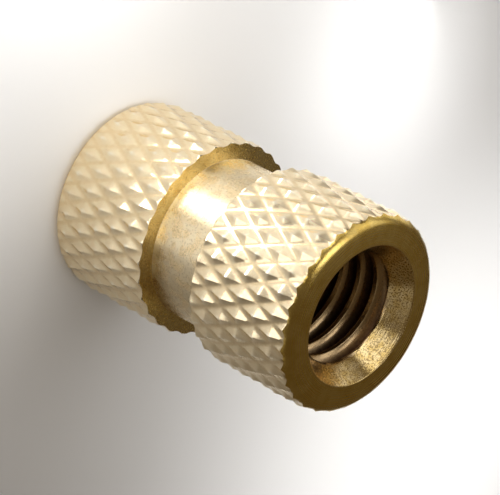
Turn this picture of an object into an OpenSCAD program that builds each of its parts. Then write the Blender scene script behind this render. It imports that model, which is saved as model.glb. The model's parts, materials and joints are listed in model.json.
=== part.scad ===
// Threaded insert for plastics, standing on one end.
// A single turned piece: two diamond-knurled bands either side of a plain neck,
// with one hole right through it and a countersunk mouth at each end.

/* [Body] */
// overall length
insert_l = 12; // [10:0.1:20]
// diameter over the points of the knurl
insert_d = 7.5; // [7:0.1:10]
// length of each knurled band
band_l = 4.7; // [2.5:0.1:5.8]
// diameter of the plain neck between the bands
neck_d = 6.1; // [5.6:0.1:6.9]
// bevel on the outer edge of each end, measured along the axis and across it
bevel = 0.35; // [0.1:0.05:0.5]
// bevel on each band's edge beside the neck, measured in the same way
edge_break = 0.08; // [0.02:0.01:0.2]

/* [Knurl] */
// number of grooves around the body in each of the two crossing directions
knurl_count = 30; // [18:1:48]
// angle of the grooves to the axis, in degrees
groove_angle = 26; // [20:1:40]
// depth of the grooves below the points
knurl_depth = 0.15; // [0.08:0.01:0.3]
// how far each point leans around the body, as a share of half a diamond
point_lean = 0.25; // [0:0.05:0.6]

/* [Hole] */
// diameter of the hole, at the crests of its thread
hole_d = 4.13; // [3:0.01:4.6]
// diameter of each mouth where it meets the end face
mouth_d = 5.2; // [4.8:0.05:6.2]
// depth of each mouth
mouth_depth = 0.8; // [0.3:0.05:2]

/* [Hidden] */
$fn = 96;
brass = [0.78, 0.62, 0.36];
// half the width and half the length of one diamond of the knurl
half_turn = 180 / knurl_count;
half_rise = PI * insert_d / (2 * knurl_count * tan(groove_angle));
// how far the cutting shapes run past the faces they cut
past = 1;

// The whole insert: knurled bands and neck, with the hole taken out of them.
module insert_body() {
    color(brass)
    difference() {
        union() {
            intersection() {
                knurled_bar(0, band_l);
                turned_blank();
            }
            neck();
            intersection() {
                knurled_bar(insert_l - band_l, insert_l);
                translate([0, 0, insert_l]) mirror([0, 0, 1]) turned_blank();
            }
        }
        threaded_hole();
    }
}

// The turned shape that trims the lower band: bevelled at both its edges, and
// wide enough in between to leave the points of the knurl whole.
module turned_blank() {
    r = insert_d / 2;
    rotate_extrude()
    polygon([
        [0, 0],
        [r - bevel, 0],
        [r, bevel],
        [r + past, bevel],
        [r + past, band_l - edge_break],
        [r, band_l - edge_break],
        [r - edge_break, band_l],
        [0, band_l]
    ]);
}

// The bar after knurling, from just below the height low to just above high.
// Rows of points lie half a diamond apart and are counted down from the top face.
// In each row the points are high and low by turns, so that every high point is
// the tip of a four-sided pyramid and every low one is where two grooves cross.
module knurled_bar(low, high) {
    first = floor((insert_l - high) / half_rise);
    last = ceil((insert_l - low) / half_rise);
    rows = last - first + 1;
    around = 2 * knurl_count;
    side = [
        for (row = [last:-1:first])
            for (step = [0:around - 1])
                knurl_point(row, step)
    ];
    ends = [
        [0, 0, insert_l - last * half_rise],
        [0, 0, insert_l - first * half_rise]
    ];
    skin = [
        for (r = [0:rows - 2])
            for (step = [0:around - 1])
                each knurl_square(r, step, around, last)
    ];
    caps = [
        for (step = [0:around - 1])
            each [
                [rows * around, step, (step + 1) % around],
                [
                    rows * around + 1,
                    (rows - 1) * around + (step + 1) % around,
                    (rows - 1) * around + step
                ]
            ]
    ];
    polyhedron(points = concat(side, ends), faces = concat(skin, caps), convexity = 6);
}

// A point of the knurl: low where row and step are both even or both odd, and
// otherwise a tip, which leans around the body.
function knurl_point(row, step) =
    let (
        low = (row + step) % 2 == 0,
        r = insert_d / 2 - (low ? knurl_depth : 0),
        turn = half_turn * (step + (low ? 0 : point_lean))
    )
    [r * cos(turn), r * sin(turn), insert_l - row * half_rise];

// Two triangles between four points, meeting along the groove between the low two.
function knurl_square(r, step, around, last) =
    let (
        next = (step + 1) % around,
        a = r * around + step,
        b = r * around + next,
        c = (r + 1) * around + next,
        d = (r + 1) * around + step
    )
    (last - r + step) % 2 == 0
        ? [[a, c, b], [a, d, c]]
        : [[a, d, b], [b, d, c]];

// The plain neck, run a little way into both bands.
module neck() {
    translate([0, 0, band_l - past]) cylinder(h = insert_l - 2 * band_l + 2 * past, d = neck_d);
}

// The through hole with its two countersunk mouths.
module threaded_hole() {
    translate([0, 0, -past]) cylinder(h = insert_l + 2 * past, d = hole_d);
    mouth();
    translate([0, 0, insert_l]) mirror([0, 0, 1]) mouth();
}

// The countersunk mouth of the lower end, run on past the end face.
module mouth() {
    slope = (mouth_d - hole_d) / 2 / mouth_depth;
    translate([0, 0, -past])
    cylinder(h = mouth_depth + past, d1 = mouth_d + 2 * slope * past, d2 = hole_d);
}

insert_body();
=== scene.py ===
"""The looks of a knurled threaded insert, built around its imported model.

The whole insert is one closed skin, worked out from a few sizes: a knurled and
turned outside, two countersunk mouths and the thread between them. The stage
is a pale floor, soft lamps of several sizes and a camera that looks down on
the insert.
"""

import json
import math

import bpy
import numpy as np
from mathutils import Matrix, Vector


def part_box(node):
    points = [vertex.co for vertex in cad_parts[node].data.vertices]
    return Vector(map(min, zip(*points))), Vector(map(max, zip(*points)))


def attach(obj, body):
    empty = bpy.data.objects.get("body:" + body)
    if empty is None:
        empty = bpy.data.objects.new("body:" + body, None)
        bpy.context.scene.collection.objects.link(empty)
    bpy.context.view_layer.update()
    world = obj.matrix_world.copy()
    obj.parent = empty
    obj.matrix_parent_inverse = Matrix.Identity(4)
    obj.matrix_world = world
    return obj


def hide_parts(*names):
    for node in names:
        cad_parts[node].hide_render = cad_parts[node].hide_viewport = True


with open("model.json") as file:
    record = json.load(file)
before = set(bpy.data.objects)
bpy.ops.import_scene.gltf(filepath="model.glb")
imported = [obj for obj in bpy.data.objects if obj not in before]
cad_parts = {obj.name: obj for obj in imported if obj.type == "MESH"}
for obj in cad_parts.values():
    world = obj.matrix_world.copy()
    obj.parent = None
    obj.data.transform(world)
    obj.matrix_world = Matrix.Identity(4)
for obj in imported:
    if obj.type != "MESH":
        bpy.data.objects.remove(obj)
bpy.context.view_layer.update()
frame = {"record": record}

bl_info = {
    "name": "Knurled Threaded Insert",
    "version": (1, 0, 0),
    "blender": (4, 5, 0),
    "location": "View3D > Sidebar > Insert",
    "description": "Builds a knurled, threaded brass insert and the stage it stands on",
    "category": "Object",
}

MM = 0.001
BODY = "root"
NODE = "insert_body"

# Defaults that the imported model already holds.
NODE_LOW, NODE_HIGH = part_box(NODE)
THREAD_MOUNT = next(m for m in frame["record"]["mounts"] if m["name"] == "thread")
LENGTH = NODE_HIGH.z - NODE_LOW.z
DIAMETER = NODE_HIGH.x - NODE_LOW.x
CREST_DIAMETER = 2 * THREAD_MOUNT["dims"]["r_mm"] * MM

# The zones of the skin, in the order of its material slots.
ZONES = ["knurl", "neck", "wall", "face", "mouth", "thread"]

# The attribute that says how high a point is in its groove.
RELIEF = "relief"

# How finely the skin is divided.
FINE = 8  # columns and rows in half a diamond of the knurl
SHARE = 3  # columns outside for each one inside
FACE_RINGS = 4
BEVEL_RINGS = 5
WALL_ROWS = 3  # rows of the groove that are on a wall
NECK_ROWS = 3  # rows of the groove between its two corners
ARC_RINGS = 5  # from one end of a rounded corner to the other
EDGE_SHARES = (0.9, 0.6, 0.3, 0)  # of the bevel beside the neck, at its rings

# The flat rings start this far outside the rim of a mouth.
RIM_MARGIN = 0.1 * MM

# The lattice of the knurl stops this many bevels short of the neck.
EDGE_MARGIN = 1.2

# A share of a row that is too small to count as one.
TINY = 1e-6

# Halvings that find where a bevel meets the knurl.
HALVINGS = 40

# Edges that turn by more than this are shaded sharp.
SHARP_ANGLE = math.radians(28)

SENSOR_WIDTH = 36  # of the camera, in millimetres
CLIP = (0.001, 100)  # nearest and farthest that the camera sees
FLOOR_COLOUR = (0.9, 0.9, 0.9)
ROOM_COLOUR = (0.10, 0.075, 0.045)


def length_property(name, description, default, low=0.0):
    """A float property that Blender shows as a length."""
    return bpy.props.FloatProperty(
        name=name,
        description=description,
        default=default,
        min=low,
        precision=5,
        subtype="DISTANCE",
        unit="LENGTH",
    )


def colour_property(name, description, default):
    """A colour property with three linear channels."""
    return bpy.props.FloatVectorProperty(
        name=name,
        description=description,
        default=default,
        min=0.0,
        max=1.0,
        size=3,
        subtype="COLOR",
    )


class INSERT_PG_body(bpy.types.PropertyGroup):
    """Sizes of the turned body."""

    length: length_property("Length", "Overall length", LENGTH)
    diameter: length_property("Diameter", "Diameter over the points of the knurl", DIAMETER)
    band_length: length_property("Band", "Length of each knurled band", 4.7 * MM)
    neck_diameter: length_property("Neck", "Diameter of the plain neck", 6.1 * MM)
    bevel: length_property("Bevel", "Bevel on the outer edge of each end", 0.35 * MM)
    edge_break: length_property("Edge Break", "Bevel beside the neck", 0.08 * MM)
    edge_round: length_property("Edge", "Radius between bevel and end face", 0.55 * MM)
    burr_round: length_property("Burr", "How soft the ends of the grooves are", 0.05 * MM)
    corner_round: length_property("Corner", "Radius where the neck meets a band", 0.01 * MM)


class INSERT_PG_knurl(bpy.types.PropertyGroup):
    """Sizes of the crossed grooves."""

    count: bpy.props.IntProperty(
        name="Grooves",
        description="Grooves around the body in each of the two directions",
        default=30,
        min=3,
    )
    angle: bpy.props.FloatProperty(
        name="Angle",
        description="Angle of the grooves to the axis",
        default=math.radians(26),
        subtype="ANGLE",
        unit="ROTATION",
    )
    depth: length_property("Depth", "Depth of the grooves below the points", 0.15 * MM)
    lean: bpy.props.FloatProperty(
        name="Lean",
        description="How far each point leans around the body, as a share of half a diamond",
        default=0.12,
        min=0.0,
        max=0.6,
    )
    ridge_round: bpy.props.FloatProperty(
        name="Ridge Rounding",
        description="How soft the ridges are, as a share of the depth",
        default=0.03,
        min=0.0,
    )
    groove_round: bpy.props.FloatProperty(
        name="Groove Rounding",
        description="How soft the bottoms of the grooves are, as a share of the depth",
        default=0.35,
        min=0.0,
    )


class INSERT_PG_thread(bpy.types.PropertyGroup):
    """Sizes of the hole, its mouths and its right-hand thread."""

    crest_diameter: length_property("Crest", "Diameter at the thread's crests", CREST_DIAMETER)
    pitch: length_property("Pitch", "Rise of the thread in one turn", 0.8 * MM, 0.1 * MM)
    start: length_property(
        "Start", "Distance of the first crest below the top face at +X", 0.838 * MM
    )
    mouth_diameter: length_property("Mouth", "Diameter of each mouth", 5.2 * MM)
    mouth_depth: length_property("Mouth Depth", "Depth of each mouth", 0.8 * MM, 0.1 * MM)
    rim_round: length_property("Rim", "Radius of the rim of each mouth", 0.04 * MM)
    run_in: length_property(
        "Run-In", "Depth below an end face at which the thread is fully cut", 1.3 * MM, 0.1 * MM
    )


class INSERT_PG_finish(bpy.types.PropertyGroup):
    """Colours of the brass in each place."""

    knurl: colour_property("Knurl", "The sides of the points", (0.92, 0.79, 0.54))
    # The ridge colour is paler than the brass: partly wear, partly a painted highlight.
    knurl_ridge_worn_highlight: colour_property("Knurl Ridge", "Worn ridges", (0.98, 0.91, 0.74))
    # The groove colour is darker than the brass: partly tarnish, partly painted shade.
    knurl_groove_tarnish_shade: colour_property("Knurl Groove", "Bottoms of the grooves", (0.84, 0.67, 0.40))
    knurl_warm: colour_property("Knurl Warm", "Warmer clouds", (0.90, 0.73, 0.48))
    neck: colour_property("Neck", "The neck", (0.88, 0.70, 0.42))
    neck_pale: colour_property("Neck Pale", "Pale patches", (0.92, 0.79, 0.55))
    neck_dark: colour_property("Neck Dark", "Dark specks", (0.36, 0.25, 0.11))
    wall: colour_property("Wall", "Walls beside the neck", (0.76, 0.58, 0.24))
    wall_light: colour_property("Wall Light", "Lighter clouds", (0.84, 0.68, 0.32))
    wall_dark: colour_property("Wall Dark", "Dark specks", (0.35, 0.21, 0.05))
    face: colour_property("Face", "The end faces", (0.73, 0.50, 0.12))
    face_light: colour_property("Face Light", "Lighter clouds", (0.80, 0.58, 0.18))
    mouth: colour_property("Mouth", "The mouths", (0.76, 0.54, 0.20))
    mouth_light: colour_property("Mouth Light", "Lighter clouds", (0.90, 0.70, 0.36))
    mouth_dark: colour_property("Mouth Dark", "Dark specks", (0.28, 0.17, 0.06))
    # The flank colour is set darker than the outer brass as painted shade inside the hole.
    thread: colour_property("Thread", "Flanks of the thread", (0.52, 0.37, 0.20))
    # The crest colour is lighter than the flanks: partly wear, partly a painted highlight.
    thread_crest_worn_highlight: colour_property("Thread Crest", "Worn crests", (0.66, 0.49, 0.27))
    # The root colour is near black: painted shade at the bottom of the thread.
    thread_root_shade: colour_property("Thread Root", "Dark roots", (0.07, 0.02, 0.01))


class INSERT_PG_stage(bpy.types.PropertyGroup):
    """The camera's place, and the floor."""

    distance: length_property("Distance", "From the insert's centre to the camera", 90.55 * MM)
    azimuth: bpy.props.FloatProperty(
        name="Azimuth",
        description="Direction of the camera around the insert, from +X towards +Y",
        default=math.radians(-92.08),
        subtype="ANGLE",
        unit="ROTATION",
    )
    elevation: bpy.props.FloatProperty(
        name="Elevation",
        description="Height of the camera above the horizontal",
        default=math.radians(38.45),
        subtype="ANGLE",
        unit="ROTATION",
    )
    roll: bpy.props.FloatProperty(
        name="Roll",
        description="Turn of the camera about its own axis, counterclockwise",
        default=math.radians(117.6),
        subtype="ANGLE",
        unit="ROTATION",
    )
    right: length_property("Right", "Camera's offset to the right", 0.343 * MM, -1.0)
    down: length_property("Down", "Camera's offset downwards", -0.175 * MM, -1.0)
    lens: bpy.props.FloatProperty(
        name="Lens", description="Focal length in millimetres", default=183.6, min=1.0
    )
    floor_size: length_property("Floor", "Width of the floor", 3.0)


# ---------------------------------------------------------------- the skin


def triangle_wave(x):
    """0 at every even x and 1 at every odd x, straight in between."""
    return np.abs((x + 1) % 2 - 1)


def knurl_height(knurl, turn, rise):
    """Height of the knurl, from 0 where grooves cross to 1 at the points.

    turn and rise count half diamonds around the body and down from the top
    face. Each direction of grooves is a triangle wave of turn plus or minus
    rise, whose bottom is rounded as a hyperbola. The height is the lower of
    the two waves, with the ridge between them rounded in the same way.
    """
    soft = knurl.groove_round
    waves = []
    for across in (turn + rise, turn - rise):
        wave = triangle_wave(across)
        waves.append((np.hypot(wave, soft) - soft) / (math.hypot(1, soft) - soft))
    one, other = waves
    ridge = knurl.ridge_round
    lower = (one + other - np.hypot(one - other, ridge)) / 2
    return np.clip(lower + ridge / 2 * (1 - lower), 0, 1)


def blank_radius(body, depth):
    """Radius of the turned blank at a depth below an end face.

    A cone at 45 degrees, which widens as fast as it deepens, met by the face
    through a circular arc.
    """
    cone = math.radians(45)
    edge = body.diameter / 2 - body.bevel
    radius = body.edge_round
    start = edge - radius * math.tan(cone / 2)
    arc = np.sqrt(np.maximum(radius**2 - (radius - np.minimum(depth, radius)) ** 2, 0))
    on_arc = depth < radius * (1 - math.cos(cone))
    return np.where(on_arc, start + arc, edge + depth)


class Skin:
    """Collects rings of points and the triangles between them."""

    def __init__(self):
        self.points = []
        self.reliefs = []
        self.triangles = []
        self.zones = []
        self.count = 0

    def add_points(self, radius, z, angle, relief=1.0, shared=None):
        """Adds a grid of points given as radius, z and angle, and returns their numbers.

        A point that equals the one before it in its column gets that one's
        number. relief is 0 at the bottom of a groove and 1 at the top of a
        ridge or crest. shared holds the numbers of points that are there
        already, and -1 where a point is new.
        """
        radius, z, angle, relief = np.broadcast_arrays(radius, z, angle, relief)
        rows, columns = radius.shape
        same = np.zeros(radius.shape, bool)
        same[1:] = (radius[1:] == radius[:-1]) & (z[1:] == z[:-1])
        if shared is not None:
            same |= shared >= 0
        row = np.arange(rows)[:, None]
        source = np.maximum.accumulate(np.where(same, 0, row), axis=0)
        fresh = (np.cumsum(~same) - 1).reshape(rows, columns)
        numbers = self.count + np.take_along_axis(fresh, source, axis=0)
        if shared is not None:
            numbers = np.where(shared >= 0, shared, numbers)
        place = np.stack([radius * np.cos(angle), radius * np.sin(angle), z], axis=-1)
        self.points.append(place[~same])
        self.reliefs.append(relief[~same])
        self.count += int((~same).sum())
        return numbers

    def add_triangles(self, triangles, zone):
        """Adds triangles of a zone, without those that have shrunk to a line."""
        flat = np.asarray(triangles).reshape(-1, 3)
        a, b, c = flat.T
        whole = (a != b) & (b != c) & (a != c)
        self.triangles.append(flat[whole])
        self.zones.append(np.full(int(whole.sum()), ZONES.index(zone)))

    def add_grid(self, numbers, zone, falling=None, where=None):
        """Joins a grid's rows, which run outwards, upwards or inwards in turn.

        falling is true where a square is cut from its first corner to the far
        one, and false where it is cut the other way. where picks the squares.
        """
        a = numbers[:-1, :-1]
        b = numbers[:-1, 1:]
        c = numbers[1:, 1:]
        d = numbers[1:, :-1]
        if falling is None:
            falling = np.ones(a.shape, bool)
        first = np.where(falling[..., None], np.stack([a, b, c], -1), np.stack([a, b, d], -1))
        second = np.where(falling[..., None], np.stack([a, c, d], -1), np.stack([d, b, c], -1))
        squares = np.stack([first, second], axis=-2)
        self.add_triangles(squares if where is None else squares[where], zone)

    def add_stitch(self, fine, coarse, share, zone, fine_first):
        """Joins a closed ring to one with a share-th of its points.

        Between two coarse points, the fine ring's steps fan out from the near
        one up to the middle and from the far one after it, and one triangle
        joins the two fans. fine_first is true where the fine ring comes before
        the coarse one in the order of a grid's rows.
        """
        fine = fine[:-1].reshape(-1, share)
        after = np.roll(fine[:, 0], -1)
        near = coarse[:-1]
        far = coarse[1:]
        steps = np.concatenate([fine, after[:, None]], axis=1)
        middle = share // 2 + 1
        corner = np.where(np.arange(share) < middle, near[:, None], far[:, None])
        fans = np.stack([steps[:, :-1], steps[:, 1:], corner], axis=-1)
        joint = np.stack([steps[:, middle], far, near], axis=-1)
        if not fine_first:
            fans = fans[..., ::-1]
            joint = joint[..., ::-1]
        self.add_triangles(fans, zone)
        self.add_triangles(joint, zone)

    def mesh(self, name):
        """Writes the collected points and triangles into a new mesh."""
        points = np.concatenate(self.points)
        triangles = np.concatenate(self.triangles)
        mesh = bpy.data.meshes.new(name)
        mesh.vertices.add(len(points))
        mesh.vertices.foreach_set("co", points.astype(np.float32).ravel())
        mesh.loops.add(triangles.size)
        mesh.loops.foreach_set("vertex_index", triangles.astype(np.int32).ravel())
        mesh.polygons.add(len(triangles))
        mesh.polygons.foreach_set("loop_start", np.arange(0, triangles.size, 3, dtype=np.int32))
        mesh.polygons.foreach_set("material_index", np.concatenate(self.zones).astype(np.int32))
        mesh.update(calc_edges=True)
        relief = mesh.attributes.new(RELIEF, "FLOAT", "POINT")
        relief.data.foreach_set("value", np.concatenate(self.reliefs).astype(np.float32))
        return mesh


def closed(numbers):
    """A grid with its first column repeated after its last."""
    return np.concatenate([numbers, numbers[:, :1]], axis=1)


class Band:
    """The knurled surface of the body, as a function of angle and height."""

    def __init__(self, body, knurl):
        self.body = body
        self.knurl = knurl
        self.half_turn = math.pi / knurl.count
        tangent = math.tan(knurl.angle)
        self.half_rise = math.pi * body.diameter / (2 * knurl.count * tangent)

    def height(self, angle, z):
        """Height of the knurl, from 0 to 1."""
        rise = (self.body.length - z) / self.half_rise
        return knurl_height(self.knurl, angle / self.half_turn, rise)

    def radius(self, angle, z):
        """Radius of a band: the lowest of the knurl and the turned shape's two bevels.

        Where two of them meet, a parabola a little below both joins them.
        """
        body = self.body
        knurled = body.diameter / 2 - self.knurl.depth * (1 - self.height(angle, z))
        end = np.minimum(z, body.length - z)
        inner = body.diameter / 2 - body.edge_break + np.maximum(body.band_length - end, 0)
        radius = blank_radius(body, end)
        for other in (knurled, inner):
            mix = np.maximum(1 - np.abs(radius - other) / body.burr_round, 0)
            radius = np.minimum(radius, other) - body.burr_round / 4 * mix**2
        return radius

    def leant(self, angle, height):
        """Angle of a point of the lattice, turned in proportion to its height."""
        return angle + self.knurl.lean * self.half_turn * height

    def bevel_depth(self, angle, top):
        """Depth below an end face where the bevel meets the knurl, by halving."""
        low = np.zeros_like(angle)
        high = np.full_like(angle, self.body.bevel)
        for _ in range(HALVINGS):
            middle = (low + high) / 2
            z = self.body.length - middle if top else middle
            height = self.height(angle, z)
            knurled = self.body.diameter / 2 - self.knurl.depth * (1 - height)
            inside = blank_radius(self.body, middle) < knurled
            low = np.where(inside, middle, low)
            high = np.where(inside, high, middle)
        return (low + high) / 2


def outside(skin, body, knurl, hole):
    """Adds the outside, from the lower mouth's rim to the upper one's, and returns its end rings.

    Each row is a ring of points. The knurl's rows lie on a lattice that the
    grooves cross along the squares' diagonals, so each square is cut along
    the groove.
    """
    band = Band(body, knurl)
    columns = 2 * knurl.count * FINE
    angle = np.arange(columns) * (2 * math.pi / columns)
    step = band.half_rise / FINE
    low_wall = body.band_length
    high_wall = body.length - body.band_length

    def face(z):
        """Flat rings from near the mouth out to the bevel."""
        inner = hole.mouth_diameter / 2 + RIM_MARGIN
        outer = blank_radius(body, np.zeros(1))[0]
        radius = np.linspace(inner, outer, FACE_RINGS)[:, None] + 0 * angle
        return skin.add_points(radius, z, angle)

    def bevel(depth, top):
        """Rings down the bevel, closer together near the face, that end short of the knurl."""
        depths = depth * np.linspace(0, 1, BEVEL_RINGS + 2)[1:-1, None] ** 2
        z = body.length - depths if top else depths
        height = band.height(angle, z)
        return skin.add_points(band.radius(angle, z), z, band.leant(angle, height), height)

    def knurled(low, high):
        """Rows of the lattice, held between two heights, and which of its squares are falling."""
        first = math.floor((body.length - high.max()) / step + TINY)
        last = math.ceil((body.length - low.min()) / step - TINY)
        row = np.arange(last, first - 1, -1)
        z = np.clip((body.length - row * step)[:, None] + 0 * angle, low, high)
        height = band.height(angle, z)
        numbers = skin.add_points(band.radius(angle, z), z, band.leant(angle, height), height)
        rise = (row[:-1, None] - 0.5) / FINE
        turn = (np.arange(columns) + 0.5) / FINE
        return numbers, (np.floor(rise) + np.floor(turn)) % 2 == 0

    def edge(wall, inwards):
        """Rings over the bevel beside the neck, ending at the wall."""
        z = wall + inwards * body.edge_break * np.array(EDGE_SHARES)[:, None] + 0 * angle
        height = band.height(angle, z)
        return skin.add_points(band.radius(angle, z), z, band.leant(angle, height), height)

    def side(wall):
        """Radii, and distances from the wall, down one wall and round the neck's corner."""
        neck = body.neck_diameter / 2
        corner = body.corner_round
        rim = band.radius(angle, wall)
        down = rim + (neck + corner - rim) * (np.arange(1, WALL_ROWS) / WALL_ROWS)[:, None]
        turn = np.linspace(0, math.pi / 2, ARC_RINGS)[:, None]
        radius = np.concatenate([down, neck + corner * (1 - np.sin(turn)) + 0 * angle])
        return radius, np.concatenate([0 * down, corner * (1 - np.cos(turn)) + 0 * angle])

    def groove():
        """Both walls and the neck between them."""
        low_r, low_z = side(low_wall)
        high_r, high_z = side(high_wall)
        middle = np.linspace(low_wall, high_wall, NECK_ROWS + 2)[1:-1, None] + 0 * angle
        radius = np.concatenate([low_r, body.neck_diameter / 2 + 0 * middle, high_r[::-1]])
        z = np.concatenate([low_wall + low_z, middle, high_wall - high_z[::-1]])
        return skin.add_points(radius, z, angle)

    low_depth = band.bevel_depth(angle, False)
    high_depth = band.bevel_depth(angle, True)
    low_face = closed(face(0.0))
    low_bevel = closed(bevel(low_depth, False))
    inset = EDGE_MARGIN * body.edge_break
    low_band, low_cut = knurled(low_depth, low_wall - inset + 0 * angle)
    low_band = closed(low_band)
    low_edge = closed(edge(low_wall, -1))
    neck = closed(groove())
    high_edge = closed(edge(high_wall, 1))[::-1]
    high_band, high_cut = knurled(high_wall + inset + 0 * angle, body.length - high_depth)
    high_band = closed(high_band)
    high_bevel = closed(bevel(high_depth, True))[::-1]
    high_face = closed(face(body.length))[::-1]

    skin.add_grid(low_face, "face")
    skin.add_grid(np.stack([low_face[-1], *low_bevel, low_band[0]]), "face")
    skin.add_grid(low_band, "knurl", low_cut)
    skin.add_grid(np.stack([low_band[-1], *low_edge]), "knurl")
    skin.add_grid(np.stack([low_edge[-1], *neck[:WALL_ROWS]]), "wall")
    skin.add_grid(neck[WALL_ROWS - 1 : 1 - WALL_ROWS], "neck")
    skin.add_grid(np.stack([*neck[-WALL_ROWS:], high_edge[0]]), "wall")
    skin.add_grid(np.stack([*high_edge, high_band[0]]), "knurl")
    skin.add_grid(high_band, "knurl", high_cut)
    skin.add_grid(np.stack([high_band[-1], *high_bevel, high_face[0]]), "face")
    skin.add_grid(high_face, "face")
    return low_face[0], high_face[-1]


def thread_profile(hole):
    """Places in one pitch and depths of the thread's corners there, from crest to crest.

    A 60 degree V with a flat crest an eighth of a pitch either side of its
    middle and a flat root half as wide, each with its corners slightly cut.
    """
    flank = math.tan(math.radians(30))
    crest = 1 / 8
    root = 1 / 16
    depth = (0.5 - crest - root) / flank
    # The crest and its cut corner, two places on the flank, and the root.
    half = np.array([0, crest - 0.03, crest + 0.02, 0.24, 0.34, 0.5 - root, 0.5])
    deep = np.clip((half - crest) / flank, 0, depth)
    place = np.concatenate([half, 1 - half[-2:0:-1]])
    return place, np.concatenate([deep, deep[-2:0:-1]]) * hole.pitch


def inside(skin, body, hole, columns):
    """Adds the hole, from the upper mouth's rim down to the lower one's, and returns its end rings.

    Rows follow the thread's helix, which rises by a pitch in each turn, and are
    held between the two rims. The radius is the larger of the thread's and the
    mouths' cones. The thread grows in from half the run-in's depth to the
    whole of it, by three times the square of the share less twice its cube.
    One turn on, a row has risen by as many rows as a pitch has.
    """
    angle = np.arange(columns) * (2 * math.pi / columns)
    crest = hole.crest_diameter / 2
    mouth = hole.mouth_diameter / 2
    slope = (mouth - crest) / hole.mouth_depth
    # Each rim is an arc between the end face and the cone.
    bend = math.pi / 2 - math.atan(slope)
    turn = np.linspace(0, bend, ARC_RINGS)[:, None] + 0 * angle
    rim_r = mouth + hole.rim_round * (math.tan(bend / 2) - np.sin(turn))
    rim_depth = hole.rim_round * (1 - np.cos(turn))
    high_rim = skin.add_points(rim_r, body.length - rim_depth, angle)
    low_rim = skin.add_points(rim_r, rim_depth, angle)[::-1]
    low = rim_depth[-1, 0]
    high = body.length - low

    place, deep = thread_profile(hole)
    rows_per_turn = len(place)
    start = body.length + hole.pitch - hole.start % hole.pitch
    turns = math.ceil(start / hole.pitch) + 2
    place = (np.arange(turns)[:, None] + place).ravel()
    z = start + hole.pitch * (angle / (2 * math.pi) - place[:, None])
    shared = np.where(z >= high, high_rim[-1], np.where(z <= low, low_rim[0], -1))
    end = np.minimum(z, body.length - z)
    cone = mouth - slope * end
    grown = np.clip(2 * end / hole.run_in - 1, 0, 1)
    cut = np.tile(deep, turns)[:, None] * grown**2 * (3 - 2 * grown)
    thread = crest + cut
    relief = 1 - cut / deep.max()
    numbers = skin.add_points(np.maximum(thread, cone), z, angle, relief, shared)

    turned = np.maximum(np.arange(len(place)) - rows_per_turn, 0)
    grid = np.concatenate([numbers, numbers[turned, :1]], axis=1)
    coned = cone >= thread
    coned = np.concatenate([coned, coned[turned, :1]], axis=1)
    on_cone = coned[:-1, :-1] & coned[1:, :-1] & coned[:-1, 1:] & coned[1:, 1:]
    skin.add_grid(closed(high_rim), "mouth")
    skin.add_grid(grid, "mouth", where=on_cone)
    skin.add_grid(grid, "thread", where=~on_cone)
    skin.add_grid(closed(low_rim), "mouth")
    return closed(high_rim)[0], closed(low_rim)[-1]


def build_skin(body, knurl, hole):
    """The whole closed skin as a mesh."""
    skin = Skin()
    low_ring, high_ring = outside(skin, body, knurl, hole)
    high_rim, low_rim = inside(skin, body, hole, 2 * knurl.count * FINE // SHARE)
    skin.add_stitch(high_ring, high_rim, SHARE, "face", True)
    skin.add_stitch(low_ring, low_rim, SHARE, "face", False)
    return skin.mesh("insert_skin")


# ---------------------------------------------------------------- finishes


class Nodes:
    """A node tree that is being filled."""

    def __init__(self, tree):
        self.tree = tree

    def add(self, kind, inputs=None, **settings):
        """Adds a node, sets its properties, and joins or sets its inputs."""
        node = self.tree.nodes.new(kind)
        for name, value in settings.items():
            setattr(node, name, value)
        for name, value in (inputs or {}).items():
            if isinstance(value, bpy.types.NodeSocket):
                self.tree.links.new(value, node.inputs[name])
            else:
                node.inputs[name].default_value = value
        return node

    def math(self, operation, *values):
        """The value of a sum or other operation on up to three values."""
        node = self.add("ShaderNodeMath", dict(enumerate(values)), operation=operation)
        return node.outputs[0]

    def mix(self, factor, one, other, share=1.0):
        """A colour on the way from one to other, at most a share of the whole way."""
        if share < 1:
            factor = self.math("MULTIPLY", factor, share)
        # A Mix node takes its two colours at 6 and 7, and puts one out at 2.
        inputs = {0: factor, 6: paint(one), 7: paint(other)}
        return self.add("ShaderNodeMix", inputs, data_type="RGBA").outputs[2]

    def ramp(self, value, start, end):
        """A value that goes evenly from start to end as another goes from 0 to 1."""
        return self.math("MULTIPLY_ADD", value, end - start, start)

    def spread(self, value, low, high, start=0.0, end=1.0):
        """A value that goes smoothly from start to end between low and high."""
        limits = {"From Min": low, "From Max": high, "To Min": start, "To Max": end}
        inputs = {"Value": value, **limits}
        node = self.add("ShaderNodeMapRange", inputs, interpolation_type="SMOOTHSTEP")
        return node.outputs[0]

    def noise(self, size, detail, place=None):
        """Noise from 0 to 1 whose lumps are about size millimetres wide."""
        if place is None:
            place = self.add("ShaderNodeTexCoord").outputs["Object"]
        scale = self.math("DIVIDE", 1 / MM, size)
        inputs = {"Vector": place, "Scale": scale, "Detail": detail}
        return self.add("ShaderNodeTexNoise", inputs).outputs["Fac"]


def paint(colour):
    """A colour with its alpha, or a socket as it is."""
    return colour if isinstance(colour, bpy.types.NodeSocket) else (*colour, 1)


FLOAT = "NodeSocketFloat"
COLOUR = "NodeSocketColor"


def new_group(name, inputs, outputs):
    """A group with sockets, its nodes, its input sockets by name, and its output node.

    inputs gives each value's default, or None for a colour. outputs gives
    each output's type.
    """
    tree = bpy.data.node_groups.new(name, "ShaderNodeTree")
    for label, default in inputs.items():
        kind = COLOUR if default is None else FLOAT
        socket = tree.interface.new_socket(label, in_out="INPUT", socket_type=kind)
        if default is not None:
            socket.default_value = default
    for label, kind in outputs.items():
        tree.interface.new_socket(label, in_out="OUTPUT", socket_type=kind)
    nodes = Nodes(tree)
    return tree, nodes, nodes.add("NodeGroupInput").outputs, nodes.add("NodeGroupOutput")


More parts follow.
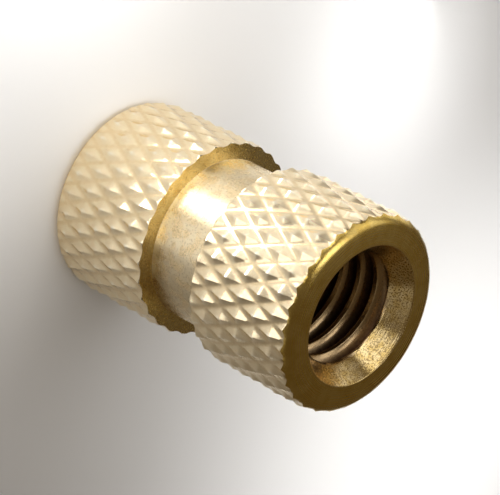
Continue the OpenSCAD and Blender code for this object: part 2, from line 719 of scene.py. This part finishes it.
def turning_group():
    """Marks of a lathe tool: rings whose coordinate is the distance from the axis plus the height.

    On a cylinder, a cone or an end face that sum changes only across the
    rings. Noise in one dimension makes the rings, and cloudy noise in space
    makes them fade in and out.
    """
    tree, nodes, given, result = new_group(
        "Turning Marks", {"Pitch": 0.05, "Depth": 0.001}, {"Height": FLOAT, "Shade": FLOAT}
    )
    place = nodes.add("ShaderNodeTexCoord").outputs["Object"]
    x, y, z = nodes.add("ShaderNodeSeparateXYZ", {"Vector": place}).outputs
    squares = nodes.math("MULTIPLY_ADD", x, x, nodes.math("MULTIPLY", y, y))
    along = nodes.math("ADD", nodes.math("SQRT", squares), z)
    scale = nodes.math("DIVIDE", 1 / MM, given["Pitch"])
    inputs = {"W": along, "Scale": scale, "Detail": 2.0}
    rings = nodes.add("ShaderNodeTexNoise", inputs, noise_dimensions="1D").outputs["Fac"]
    patches = nodes.spread(nodes.noise(0.9, 2.0, place), 0.35, 0.65, 0.3, 1.0)
    shade = nodes.math("MULTIPLY", nodes.math("SUBTRACT", rings, 0.5), patches)
    height = nodes.math("MULTIPLY", shade, given["Depth"])
    nodes.tree.links.new(height, result.inputs["Height"])
    nodes.tree.links.new(nodes.math("ADD", shade, 0.5), result.inputs["Shade"])
    return tree


def grain_group():
    """Fine unevenness of a plated or tumbled surface, and soft clouds of colour in it."""
    tree, nodes, given, result = new_group(
        "Grain", {"Size": 0.06, "Depth": 0.001}, {"Height": FLOAT, "Cloud": FLOAT}
    )
    fine = nodes.noise(given["Size"], 3.0)
    height = nodes.math("MULTIPLY", nodes.math("SUBTRACT", fine, 0.5), given["Depth"])
    cloud = nodes.noise(nodes.math("MULTIPLY", given["Size"], 6.0), 3.0)
    nodes.tree.links.new(height, result.inputs["Height"])
    nodes.tree.links.new(nodes.spread(cloud, 0.35, 0.65), result.inputs["Cloud"])
    return tree


def speckle_group():
    """Small specks: the share of the surface where noise is highest, with soft edges."""
    tree, nodes, given, result = new_group(
        "Specks", {"Size": 0.07, "Start": 0.6, "Soft": 0.06}, {"Mask": FLOAT}
    )
    end = nodes.math("ADD", given["Start"], given["Soft"])
    mask = nodes.spread(nodes.noise(given["Size"], 2.0), given["Start"], end)
    nodes.tree.links.new(mask, result.inputs["Mask"])
    return tree


def relief_group():
    """Tarnish and painted shade in the grooves, wear and a painted highlight on the ridges, from
    the relief and a little noise.
    """
    tree, nodes, given, result = new_group(
        "Relief Tint and Painted Light",
        {"Groove": None, "Middle": None, "Ridge": None, "Full": 0.5, "Worn": 0.6, "Rough": 0.2},
        {"Color": COLOUR, "Groove": FLOAT, "Ridge": FLOAT},
    )
    relief = nodes.add("ShaderNodeAttribute", attribute_name=RELIEF).outputs["Fac"]
    lumps = nodes.math("SUBTRACT", nodes.noise(0.12, 2.0), 0.5)
    uneven = nodes.math("MULTIPLY_ADD", lumps, given["Rough"], relief)
    groove = nodes.spread(uneven, 0.0, given["Full"], 1.0, 0.0)
    ridge = nodes.spread(uneven, given["Worn"], 1.0)
    # Towards the Groove colour the grooves take tarnish and painted shade; towards the Ridge colour
    # the ridges take wear and a painted highlight.
    colour = nodes.mix(groove, given["Middle"], given["Groove"])
    colour = nodes.mix(ridge, colour, given["Ridge"])
    nodes.tree.links.new(colour, result.inputs["Color"])
    nodes.tree.links.new(groove, result.inputs["Groove"])
    nodes.tree.links.new(ridge, result.inputs["Ridge"])
    return tree


class Finish:
    """A brass finish: one metal shader, and the groups that its colour and surface come from."""

    def __init__(self, name, groups):
        self.material = bpy.data.materials.new(name)
        self.material.use_nodes = True
        self.nodes = Nodes(self.material.node_tree)
        self.shader = self.material.node_tree.nodes["Principled BSDF"]
        self.shader.inputs["Metallic"].default_value = 1
        self.groups = groups

    def group(self, name, **values):
        """Places a shared group with this finish's own values, and returns its outputs."""
        node = self.nodes.add("ShaderNodeGroup", node_tree=self.groups[name])
        for label, value in values.items():
            node.inputs[label].default_value = value if isinstance(value, float) else paint(value)
        return node.outputs

    def turned(self, amount):
        """Stretches reflections across the marks of a lathe, which run round the axis.

        That is a quarter turn from the way in which the shader stretches them
        by itself.
        """
        self.shader.inputs["Anisotropic"].default_value = amount
        self.shader.inputs["Anisotropic Rotation"].default_value = 0.25

    def finish(self, colour, roughness, *heights):
        """Joins the colour, the roughness and the heights, in millimetres, to the shader."""
        links = self.material.node_tree.links
        links.new(colour, self.shader.inputs["Base Color"])
        links.new(roughness, self.shader.inputs["Roughness"])
        height = heights[0]
        for other in heights[1:]:
            height = self.nodes.math("ADD", height, other)
        bump = self.nodes.add("ShaderNodeBump", {"Height": height, "Distance": MM})
        links.new(bump.outputs["Normal"], self.shader.inputs["Normal"])
        return self.material


def knurl_finish(colours, groups):
    """Ridges paled partly by wear and partly as a painted highlight, grooves darkened partly by
    tarnish and partly as painted shade, and clouds of warmer metal between.
    """
    made = Finish("knurl_brass", groups)
    nodes = made.nodes
    tint_and_light = made.group(
        "tint_and_light",
        Groove=colours.knurl_groove_tarnish_shade,
        Middle=colours.knurl,
        Ridge=colours.knurl_ridge_worn_highlight,
        Full=0.2,
        Worn=0.5,
        Rough=0.3,
    )
    grain = made.group("grain", Size=0.05, Depth=0.0025)
    specks = made.group("specks", Size=0.06, Start=0.66, Soft=0.1)
    colour = nodes.mix(grain["Cloud"], tint_and_light["Color"], colours.knurl_warm, 0.6)
    # Specks take the groove colour, which holds tarnish and painted shade.
    colour = nodes.mix(specks["Mask"], colour, colours.knurl_groove_tarnish_shade, 0.5)
    roughness = nodes.ramp(tint_and_light["Groove"], 0.16, 0.24)
    return made.finish(colour, roughness, grain["Height"])


def neck_finish(colours, groups):
    """Satin metal with turning marks, pale patches and dark specks."""
    made = Finish("neck_brass", groups)
    nodes = made.nodes
    rings = made.group("turning", Pitch=0.045, Depth=0.006)
    grain = made.group("grain", Size=0.07, Depth=0.002)
    specks = made.group("specks", Size=0.06, Start=0.55, Soft=0.1)
    colour = nodes.mix(grain["Cloud"], colours.neck, colours.neck_pale)
    colour = nodes.mix(specks["Mask"], colour, colours.neck_dark, 0.4)
    roughness = nodes.ramp(grain["Cloud"], 0.25, 0.31)
    made.turned(0.95)
    return made.finish(colour, roughness, rings["Height"], grain["Height"])


def wall_finish(colours, groups):
    """Deep gold with specks, as the bands' inner walls have."""
    made = Finish("wall_brass", groups)
    nodes = made.nodes
    rings = made.group("turning", Pitch=0.05, Depth=0.003)
    grain = made.group("grain", Size=0.06, Depth=0.003)
    specks = made.group("specks", Size=0.08, Start=0.58, Soft=0.1)
    colour = nodes.mix(grain["Cloud"], colours.wall, colours.wall_light)
    colour = nodes.mix(specks["Mask"], colour, colours.wall_dark, 0.5)
    roughness = nodes.ramp(specks["Mask"], 0.27, 0.37)
    return made.finish(colour, roughness, rings["Height"], grain["Height"])


def face_finish(colours, groups):
    """Smooth turned end face with faint rings."""
    made = Finish("face_brass", groups)
    nodes = made.nodes
    rings = made.group("turning", Pitch=0.1, Depth=0.004)
    grain = made.group("grain", Size=0.07, Depth=0.003)
    colour = nodes.mix(grain["Cloud"], colours.face, colours.face_light)
    roughness = nodes.ramp(rings["Shade"], 0.22, 0.32)
    return made.finish(colour, roughness, rings["Height"], grain["Height"])


def mouth_finish(colours, groups):
    """Countersunk mouth: rings, many specks and bright flecks."""
    made = Finish("mouth_brass", groups)
    nodes = made.nodes
    rings = made.group("turning", Pitch=0.07, Depth=0.004)
    grain = made.group("grain", Size=0.05, Depth=0.003)
    specks = made.group("specks", Size=0.06, Start=0.5, Soft=0.08)
    colour = nodes.mix(grain["Cloud"], colours.mouth, colours.mouth_light)
    colour = nodes.mix(specks["Mask"], colour, colours.mouth_dark, 0.6)
    roughness = nodes.ramp(specks["Mask"], 0.2, 0.32)
    made.turned(0.5)
    return made.finish(colour, roughness, rings["Height"], grain["Height"])


def thread_finish(colours, groups):
    """Crests lightened partly by wear and partly as a painted highlight, above roots painted near
    black as shade.
    """
    made = Finish("thread_brass", groups)
    nodes = made.nodes
    tint_and_light = made.group(
        "tint_and_light",
        Groove=colours.thread_root_shade,
        Middle=colours.thread,
        Ridge=colours.thread_crest_worn_highlight,
        Full=0.8,
        Worn=0.9,
        Rough=0.3,
    )
    grain = made.group("grain", Size=0.05, Depth=0.002)
    specks = made.group("specks", Size=0.06, Start=0.58, Soft=0.1)
    # Specks take the near-black root colour, which is painted shade.
    colour = nodes.mix(specks["Mask"], tint_and_light["Color"], colours.thread_root_shade, 0.5)
    roughness = nodes.ramp(tint_and_light["Groove"], 0.25, 0.45)
    return made.finish(colour, roughness, grain["Height"])


def make_finishes(colours):
    """The materials of the zones, in their order."""
    groups = {
        "turning": turning_group(),
        "grain": grain_group(),
        "specks": speckle_group(),
        "tint_and_light": relief_group(),
    }
    makers = {
        "knurl": knurl_finish,
        "neck": neck_finish,
        "wall": wall_finish,
        "face": face_finish,
        "mouth": mouth_finish,
        "thread": thread_finish,
    }
    return [makers[zone](colours, groups) for zone in ZONES]


# ---------------------------------------------------------------- operators


class INSERT_OT_body(bpy.types.Operator):
    """Build the knurled, threaded body of the insert"""

    bl_idname = "insert.body"
    bl_label = "Insert Body"
    bl_options = {"REGISTER", "UNDO"}

    def execute(self, context):
        scene = context.scene
        mesh = build_skin(scene.insert_body, scene.insert_knurl, scene.insert_thread)
        piece = bpy.data.objects.new("threaded_insert", mesh)
        context.collection.objects.link(piece)
        for material in make_finishes(scene.insert_finish):
            mesh.materials.append(material)
        mesh.shade_smooth()
        mesh.set_sharp_from_angle(angle=SHARP_ANGLE)
        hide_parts(NODE)
        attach(piece, BODY)
        return {"FINISHED"}


def aim(location, target, roll=0.0):
    """A matrix that stands at location and looks at target, turned about its own axis."""
    forward = (target - location).normalized()
    turned = forward.to_track_quat("-Z", "Y").to_matrix().to_4x4()
    return Matrix.Translation(location) @ turned @ Matrix.Rotation(roll, 4, "Z")


# Name, centre, point it faces, width and height, all in millimetres, its
# radiance before the beam is narrowed, and the spread of a narrowed beam in
# degrees.
LAMPS = (
    ("key", (-83, 15, 71), (0, 0, 2), (45, 45), 0.97),
    ("front_left", (-20, -25, 17), (0, 0, 5), (40, 30), 1.45),
    ("front_right", (22, -25, 17), (0, 0, 5), (40, 30), 0.19),
    ("near_left", (-9.5, -9.5, 8), (0, 0, 7), (12, 15), 0.35),
    ("near_back", (-14, 7, 8), (0, 0, 7), (12, 15), 0.82),
    ("near_front", (4, -17, 9), (0, 0, 7), (12, 15), 1.25),
    ("over_left", (-16, 0, 30), (-12, 0, 0), (20, 20), 0.5, 60),
    ("over_front", (-4, -22, 26), (-4, -18, 0), (20, 12), 0.68, 60),
    ("over_back", (4, 26, 45), (4, 26, 0), (20, 20), 1.86, 50),
    ("neck_card", (-5.2, -9.4, 0.9), (-1, -2.9, 6), (11, 5), 0.4, 36),
    ("bore", (-63, 44, 75), (0, 0, 11), (40, 40), 0.8),
    ("face_card", (-4, 11, 25.5), (-3, -3, 12), (8, 8), 0.08),
    ("floor_left", (-8, -8, 20), (-8, -8, 0), (8, 8), 0.4, 30),
    ("floor_back", (-9, 11, 20), (-9, 11, 0), (8, 8), 0.58, 30),
)


def hang_lamp(context, name, place, target, size, radiance, spread=180):
    """A soft rectangular lamp that the camera doesn't see.

    Its power is the radiance times its area times pi.
    """
    data = bpy.data.lights.new(name, "AREA")
    data.shape = "RECTANGLE"
    data.size, data.size_y = (side * MM for side in size)
    data.energy = radiance * math.pi * data.size * data.size_y
    data.spread = math.radians(spread)
    lamp = bpy.data.objects.new(name, data)
    lamp.matrix_world = aim(Vector(place) * MM, Vector(target) * MM)
    lamp.visible_camera = False
    context.collection.objects.link(lamp)


def lay_floor(context, width):
    """A pale, matt floor."""
    mesh = bpy.data.meshes.new("floor")
    half = width / 2
    corners = [(-half, -half, 0), (half, -half, 0), (half, half, 0), (-half, half, 0)]
    mesh.from_pydata(corners, [], [(0, 1, 2, 3)])
    floor = bpy.data.objects.new("floor", mesh)
    context.collection.objects.link(floor)
    paper = bpy.data.materials.new("paper")
    paper.use_nodes = True
    shader = paper.node_tree.nodes["Principled BSDF"]
    shader.inputs["Base Color"].default_value = paint(FLOOR_COLOUR)
    shader.inputs["Roughness"].default_value = 0.9
    shader.inputs["Specular IOR Level"].default_value = 0.1
    mesh.materials.append(paper)


def surroundings():
    """A dim room."""
    world = bpy.data.worlds.new("room")
    world.use_nodes = True
    background = world.node_tree.nodes["Background"]
    background.inputs["Color"].default_value = paint(ROOM_COLOUR)
    return world


def set_camera(context, stage, centre):
    """A camera at a distance from centre, in a direction given by azimuth and elevation.

    It looks at centre, is turned about its own axis, and is then moved
    sideways in its own plane.
    """
    level = math.cos(stage.elevation)
    direction = Vector(
        (
            level * math.cos(stage.azimuth),
            level * math.sin(stage.azimuth),
            math.sin(stage.elevation),
        )
    )
    matrix = aim(centre + direction * stage.distance, centre, stage.roll)
    data = bpy.data.cameras.new("camera")
    data.lens = stage.lens
    data.sensor_width = SENSOR_WIDTH
    data.clip_start, data.clip_end = CLIP
    camera = bpy.data.objects.new("camera", data)
    camera.matrix_world = matrix @ Matrix.Translation((stage.right, -stage.down, 0))
    context.collection.objects.link(camera)
    context.scene.camera = camera


class INSERT_OT_stage(bpy.types.Operator):
    """Lay the floor, hang the lamps and set up the camera"""

    bl_idname = "insert.stage"
    bl_label = "Stage"
    bl_options = {"REGISTER", "UNDO"}

    def execute(self, context):
        scene = context.scene
        stage = scene.insert_stage
        set_camera(context, stage, Vector((0, 0, scene.insert_body.length / 2)))
        lay_floor(context, stage.floor_size)
        for lamp in LAMPS:
            hang_lamp(context, *lamp)
        scene.world = surroundings()
        scene.view_settings.view_transform = "Standard"
        return {"FINISHED"}


# The settings that the panel lists above each operator's button.
SECTIONS = (
    (("insert_body", "insert_knurl", "insert_thread", "insert_finish"), "insert.body"),
    (("insert_stage",), "insert.stage"),
)


class INSERT_PT_panel(bpy.types.Panel):
    """The sizes of the insert and its build buttons"""

    bl_idname = "INSERT_PT_panel"
    bl_label = "Threaded Insert"
    bl_space_type = "VIEW_3D"
    bl_region_type = "UI"
    bl_category = "Insert"

    def draw(self, context):
        for settings, operator in SECTIONS:
            column = self.layout.column()
            for setting in settings:
                group = getattr(context.scene, setting)
                for name in group.bl_rna.properties.keys():
                    if name not in {"rna_type", "name"}:
                        column.prop(group, name)
            column.operator(operator)


CLASSES = (
    INSERT_PG_body,
    INSERT_PG_knurl,
    INSERT_PG_thread,
    INSERT_PG_finish,
    INSERT_PG_stage,
    INSERT_OT_body,
    INSERT_OT_stage,
    INSERT_PT_panel,
)


def register():
    """Registers the classes, and gives every scene its settings."""
    for cls in CLASSES:
        bpy.utils.register_class(cls)
    scene = bpy.types.Scene
    scene.insert_body = bpy.props.PointerProperty(type=INSERT_PG_body)
    scene.insert_knurl = bpy.props.PointerProperty(type=INSERT_PG_knurl)
    scene.insert_thread = bpy.props.PointerProperty(type=INSERT_PG_thread)
    scene.insert_finish = bpy.props.PointerProperty(type=INSERT_PG_finish)
    scene.insert_stage = bpy.props.PointerProperty(type=INSERT_PG_stage)


def unregister():
    """Takes back what register gave, in reverse order."""
    scene = bpy.types.Scene
    del scene.insert_stage
    del scene.insert_finish
    del scene.insert_thread
    del scene.insert_knurl
    del scene.insert_body
    for cls in reversed(CLASSES):
        bpy.utils.unregister_class(cls)


def main():
    """Registers the add-on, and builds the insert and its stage."""
    register()
    bpy.ops.insert.body()
    bpy.ops.insert.stage()


if __name__ == "__main__":
    main()
